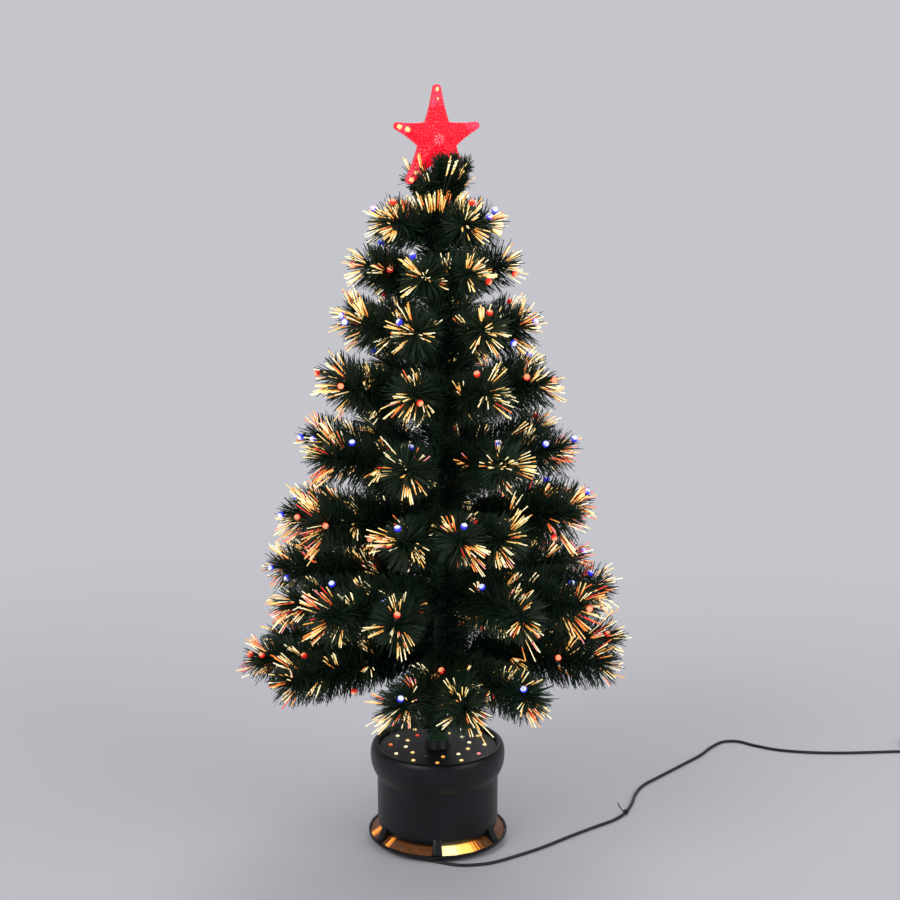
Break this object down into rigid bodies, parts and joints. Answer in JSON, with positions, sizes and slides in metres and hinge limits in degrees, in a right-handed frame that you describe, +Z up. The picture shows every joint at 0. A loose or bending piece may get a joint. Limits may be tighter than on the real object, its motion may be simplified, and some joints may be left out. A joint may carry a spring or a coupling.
{
  "type": "fiber optic christmas tree",
  "caption": "Table-top artificial tree with hinged branches, fibres lit from a lamp and colour wheel in the pot, a lift-off star and a low-voltage lead with its adapter.",
  "frame": {"origin": "on the trunk's axis, at the floor the feet stand on", "axes": "+Z up along the trunk, -Y towards the viewer of the picture, +X to the viewer's right"},
  "size_m": [1.31, 0.729, 1.2],
  "materials": {
    "foot_rubber": "matt",
    "pot_plastic": "satin",
    "amber_plastic": "translucent, lit",
    "bracket_steel": "plated",
    "holder_ceramic": "unglazed",
    "lamp_glass": "clear reflector, lit",
    "motor_steel": "satin",
    "wheel_film": "clear coloured sectors",
    "ferrule_brass": "satin",
    "fibre_plastic": "clear strands",
    "trunk_paint": "satin green",
    "needle_film": "cut film needles",
    "star_acrylic": "pebbled, translucent",
    "star_lamp_glass": "clear, lit",
    "lead_plastic": "soft black",
    "blade_brass": "polished"
  },
  "bodies": {
    "base": {"pot_shell": "pot_plastic", "pot_lid": "pot_plastic", "light_ring": "amber_plastic", "base_plate": "pot_plastic", "foot_1": "foot_rubber", "foot_2": "foot_rubber", "foot_3": "foot_rubber", "foot_4": "foot_rubber", "lamp_bracket": "bracket_steel", "lamp_holder": "holder_ceramic", "halogen_lamp": "lamp_glass", "wheel_motor": "motor_steel", "cord_gland": "foot_rubber", "inner_lead": "lead_plastic", "power_cord": "lead_plastic", "cord_coil": "lead_plastic", "power_adapter": "lead_plastic", "adapter_blade_right": "blade_brass", "adapter_blade_left": "blade_brass"},
    "wheel": {"colour_wheel": "wheel_film"},
    "tree": {"trunk_tube": "trunk_paint", "fibre_ferrule": "ferrule_brass", "fibre_bundle": "fibre_plastic", "trunk_wrap": "needle_film", "crown": "needle_film"},
    "star": {"star_front": "star_acrylic", "star_back": "star_acrylic", "star_socket": "star_acrylic", "star_lamp": "star_lamp_glass"},
    "tier1_branch1": {"tier1_branch1": "needle_film"},
    "tier1_branch2": {"tier1_branch2": "needle_film"},
    "tier1_branch3": {"tier1_branch3": "needle_film"},
    "tier1_branch4": {"tier1_branch4": "needle_film"},
    "tier2_branch1": {"tier2_branch1": "needle_film"},
    "tier2_branch2": {"tier2_branch2": "needle_film"},
    "tier2_branch3": {"tier2_branch3": "needle_film"},
    "tier2_branch4": {"tier2_branch4": "needle_film"},
    "tier3_branch1": {"tier3_branch1": "needle_film"},
    "tier3_branch2": {"tier3_branch2": "needle_film"},
    "tier3_branch3": {"tier3_branch3": "needle_film"},
    "tier3_branch4": {"tier3_branch4": "needle_film"},
    "tier4_branch1": {"tier4_branch1": "needle_film"},
    "tier4_branch2": {"tier4_branch2": "needle_film"},
    "tier4_branch3": {"tier4_branch3": "needle_film"},
    "tier4_branch4": {"tier4_branch4": "needle_film"},
    "tier5_branch1": {"tier5_branch1": "needle_film"},
    "tier5_branch2": {"tier5_branch2": "needle_film"},
    "tier5_branch3": {"tier5_branch3": "needle_film"},
    "tier5_branch4": {"tier5_branch4": "needle_film"},
    "tier6_branch1": {"tier6_branch1": "needle_film"},
    "tier6_branch2": {"tier6_branch2": "needle_film"},
    "tier6_branch3": {"tier6_branch3": "needle_film"},
    "tier6_branch4": {"tier6_branch4": "needle_film"},
    "tier7_branch1": {"tier7_branch1": "needle_film"},
    "tier7_branch2": {"tier7_branch2": "needle_film"},
    "tier7_branch3": {"tier7_branch3": "needle_film"},
    "tier8_branch1": {"tier8_branch1": "needle_film"},
    "tier8_branch2": {"tier8_branch2": "needle_film"},
    "tier8_branch3": {"tier8_branch3": "needle_film"}
  },
  "joints": [
    {"name": "tree_lift", "type": "slide", "parent": "base", "child": "tree", "axis": [0, 0, 1], "range_m": [0, 0.08]},
    {"name": "colour_wheel_spin", "type": "hinge", "parent": "base", "child": "wheel", "pos_m": [-0.038, 0, 0.0834], "axis": [0, 0, 1], "continuous": true},
    {"name": "star_lift", "type": "slide", "parent": "tree", "child": "star", "axis": [0, 0, 1], "range_m": [0, 0.045]},
    {"name": "tier1_branch1_fold", "type": "hinge", "parent": "tree", "child": "tier1_branch1", "pos_m": [0.02025, 0.00321, 0.304], "axis": [0.1564, -0.9877, 0], "range_deg": [0, 45]},
    {"name": "tier1_branch2_fold", "type": "hinge", "parent": "tree", "child": "tier1_branch2", "pos_m": [-0.00321, 0.02025, 0.304], "axis": [0.9877, 0.1564, 0], "range_deg": [0, 45]},
    {"name": "tier1_branch3_fold", "type": "hinge", "parent": "tree", "child": "tier1_branch3", "pos_m": [-0.02025, -0.00321, 0.304], "axis": [-0.1564, 0.9877, 0], "range_deg": [0, 45]},
    {"name": "tier1_branch4_fold", "type": "hinge", "parent": "tree", "child": "tier1_branch4", "pos_m": [0.00321, -0.02025, 0.304], "axis": [-0.9877, -0.1564, 0], "range_deg": [0, 45]},
    {"name": "tier2_branch1_fold", "type": "hinge", "parent": "tree", "child": "tier2_branch1", "pos_m": [0.01205, 0.01658, 0.41388], "axis": [0.809, -0.5878, 0], "range_deg": [0, 42]},
    {"name": "tier2_branch2_fold", "type": "hinge", "parent": "tree", "child": "tier2_branch2", "pos_m": [-0.01658, 0.01205, 0.41388], "axis": [0.5878, 0.809, 0], "range_deg": [0, 42]},
    {"name": "tier2_branch3_fold", "type": "hinge", "parent": "tree", "child": "tier2_branch3", "pos_m": [-0.01205, -0.01658, 0.41388], "axis": [-0.809, 0.5878, 0], "range_deg": [0, 42]},
    {"name": "tier2_branch4_fold", "type": "hinge", "parent": "tree", "child": "tier2_branch4", "pos_m": [0.01658, -0.01205, 0.41388], "axis": [-0.5878, -0.809, 0], "range_deg": [0, 42]},
    {"name": "tier3_branch1_fold", "type": "hinge", "parent": "tree", "child": "tier3_branch1", "pos_m": [-0.00321, 0.02025, 0.51974], "axis": [0.9877, 0.1564, 0], "range_deg": [0, 38]},
    {"name": "tier3_branch2_fold", "type": "hinge", "parent": "tree", "child": "tier3_branch2", "pos_m": [-0.02025, -0.00321, 0.51974], "axis": [-0.1564, 0.9877, 0], "range_deg": [0, 38]},
    {"name": "tier3_branch3_fold", "type": "hinge", "parent": "tree", "child": "tier3_branch3", "pos_m": [0.00321, -0.02025, 0.51974], "axis": [-0.9877, -0.1564, 0], "range_deg": [0, 38]},
    {"name": "tier3_branch4_fold", "type": "hinge", "parent": "tree", "child": "tier3_branch4", "pos_m": [0.02025, 0.00321, 0.51974], "axis": [0.1564, -0.9877, 0], "range_deg": [0, 38]},
    {"name": "tier4_branch1_fold", "type": "hinge", "parent": "tree", "child": "tier4_branch1", "pos_m": [-0.01658, 0.01205, 0.62091], "axis": [0.5878, 0.809, 0], "range_deg": [0, 35]},
    {"name": "tier4_branch2_fold", "type": "hinge", "parent": "tree", "child": "tier4_branch2", "pos_m": [-0.01205, -0.01658, 0.62091], "axis": [-0.809, 0.5878, 0], "range_deg": [0, 35]},
    {"name": "tier4_branch3_fold", "type": "hinge", "parent": "tree", "child": "tier4_branch3", "pos_m": [0.01658, -0.01205, 0.62091], "axis": [-0.5878, -0.809, 0], "range_deg": [0, 35]},
    {"name": "tier4_branch4_fold", "type": "hinge", "parent": "tree", "child": "tier4_branch4", "pos_m": [0.01205, 0.01658, 0.62091], "axis": [0.809, -0.5878, 0], "range_deg": [0, 35]},
    {"name": "tier5_branch1_fold", "type": "hinge", "parent": "tree", "child": "tier5_branch1", "pos_m": [-0.02025, -0.00321, 0.71739], "axis": [-0.1564, 0.9877, 0], "range_deg": [0, 31]},
    {"name": "tier5_branch2_fold", "type": "hinge", "parent": "tree", "child": "tier5_branch2", "pos_m": [0.00321, -0.02025, 0.71739], "axis": [-0.9877, -0.1564, 0], "range_deg": [0, 31]},
    {"name": "tier5_branch3_fold", "type": "hinge", "parent": "tree", "child": "tier5_branch3", "pos_m": [0.02025, 0.00321, 0.71739], "axis": [0.1564, -0.9877, 0], "range_deg": [0, 31]},
    {"name": "tier5_branch4_fold", "type": "hinge", "parent": "tree", "child": "tier5_branch4", "pos_m": [-0.00321, 0.02025, 0.71739], "axis": [0.9877, 0.1564, 0], "range_deg": [0, 31]},
    {"name": "tier6_branch1_fold", "type": "hinge", "parent": "tree", "child": "tier6_branch1", "pos_m": [-0.01205, -0.01658, 0.80851], "axis": [-0.809, 0.5878, 0], "range_deg": [0, 28]},
    {"name": "tier6_branch2_fold", "type": "hinge", "parent": "tree", "child": "tier6_branch2", "pos_m": [0.01658, -0.01205, 0.80851], "axis": [-0.5878, -0.809, 0], "range_deg": [0, 28]},
    {"name": "tier6_branch3_fold", "type": "hinge", "parent": "tree", "child": "tier6_branch3", "pos_m": [0.01205, 0.01658, 0.80851], "axis": [0.809, -0.5878, 0], "range_deg": [0, 28]},
    {"name": "tier6_branch4_fold", "type": "hinge", "parent": "tree", "child": "tier6_branch4", "pos_m": [-0.01658, 0.01205, 0.80851], "axis": [0.5878, 0.809, 0], "range_deg": [0, 28]},
    {"name": "tier7_branch1_fold", "type": "hinge", "parent": "tree", "child": "tier7_branch1", "pos_m": [0.00321, -0.02025, 0.89427], "axis": [-0.9877, -0.1564, 0], "range_deg": [0, 25]},
    {"name": "tier7_branch2_fold", "type": "hinge", "parent": "tree", "child": "tier7_branch2", "pos_m": [0.01593, 0.0129, 0.89427], "axis": [0.6293, -0.7771, 0], "range_deg": [0, 25]},
    {"name": "tier7_branch3_fold", "type": "hinge", "parent": "tree", "child": "tier7_branch3", "pos_m": [-0.01914, 0.00735, 0.89427], "axis": [0.3584, 0.9336, 0], "range_deg": [0, 25]},
    {"name": "tier8_branch1_fold", "type": "hinge", "parent": "tree", "child": "tier8_branch1", "pos_m": [0.01658, -0.01205, 0.974], "axis": [-0.5878, -0.809, 0], "range_deg": [0, 22]},
    {"name": "tier8_branch2_fold", "type": "hinge", "parent": "tree", "child": "tier8_branch2", "pos_m": [0.00214, 0.02039, 0.974], "axis": [0.9945, -0.1045, 0], "range_deg": [0, 22]},
    {"name": "tier8_branch3_fold", "type": "hinge", "parent": "tree", "child": "tier8_branch3", "pos_m": [-0.01873, -0.00834, 0.974], "axis": [-0.4067, 0.9135, 0], "range_deg": [0, 22]}
  ],
  "couplings": [
    {"joint": "tier1_branch2_fold", "follows": "tier1_branch1_fold", "ratio": 1},
    {"joint": "tier1_branch3_fold", "follows": "tier1_branch1_fold", "ratio": 1},
    {"joint": "tier1_branch4_fold", "follows": "tier1_branch1_fold", "ratio": 1},
    {"joint": "tier2_branch1_fold", "follows": "tier1_branch1_fold", "ratio": 0.93333},
    {"joint": "tier2_branch2_fold", "follows": "tier1_branch1_fold", "ratio": 0.93333},
    {"joint": "tier2_branch3_fold", "follows": "tier1_branch1_fold", "ratio": 0.93333},
    {"joint": "tier2_branch4_fold", "follows": "tier1_branch1_fold", "ratio": 0.93333},
    {"joint": "tier3_branch1_fold", "follows": "tier1_branch1_fold", "ratio": 0.84444},
    {"joint": "tier3_branch2_fold", "follows": "tier1_branch1_fold", "ratio": 0.84444},
    {"joint": "tier3_branch3_fold", "follows": "tier1_branch1_fold", "ratio": 0.84444},
    {"joint": "tier3_branch4_fold", "follows": "tier1_branch1_fold", "ratio": 0.84444},
    {"joint": "tier4_branch1_fold", "follows": "tier1_branch1_fold", "ratio": 0.77778},
    {"joint": "tier4_branch2_fold", "follows": "tier1_branch1_fold", "ratio": 0.77778},
    {"joint": "tier4_branch3_fold", "follows": "tier1_branch1_fold", "ratio": 0.77778},
    {"joint": "tier4_branch4_fold", "follows": "tier1_branch1_fold", "ratio": 0.77778},
    {"joint": "tier5_branch1_fold", "follows": "tier1_branch1_fold", "ratio": 0.68889},
    {"joint": "tier5_branch2_fold", "follows": "tier1_branch1_fold", "ratio": 0.68889},
    {"joint": "tier5_branch3_fold", "follows": "tier1_branch1_fold", "ratio": 0.68889},
    {"joint": "tier5_branch4_fold", "follows": "tier1_branch1_fold", "ratio": 0.68889},
    {"joint": "tier6_branch1_fold", "follows": "tier1_branch1_fold", "ratio": 0.62222},
    {"joint": "tier6_branch2_fold", "follows": "tier1_branch1_fold", "ratio": 0.62222},
    {"joint": "tier6_branch3_fold", "follows": "tier1_branch1_fold", "ratio": 0.62222},
    {"joint": "tier6_branch4_fold", "follows": "tier1_branch1_fold", "ratio": 0.62222},
    {"joint": "tier7_branch1_fold", "follows": "tier1_branch1_fold", "ratio": 0.55556},
    {"joint": "tier7_branch2_fold", "follows": "tier1_branch1_fold", "ratio": 0.55556},
    {"joint": "tier7_branch3_fold", "follows": "tier1_branch1_fold", "ratio": 0.55556},
    {"joint": "tier8_branch1_fold", "follows": "tier1_branch1_fold", "ratio": 0.48889},
    {"joint": "tier8_branch2_fold", "follows": "tier1_branch1_fold", "ratio": 0.48889},
    {"joint": "tier8_branch3_fold", "follows": "tier1_branch1_fold", "ratio": 0.48889}
  ]
}
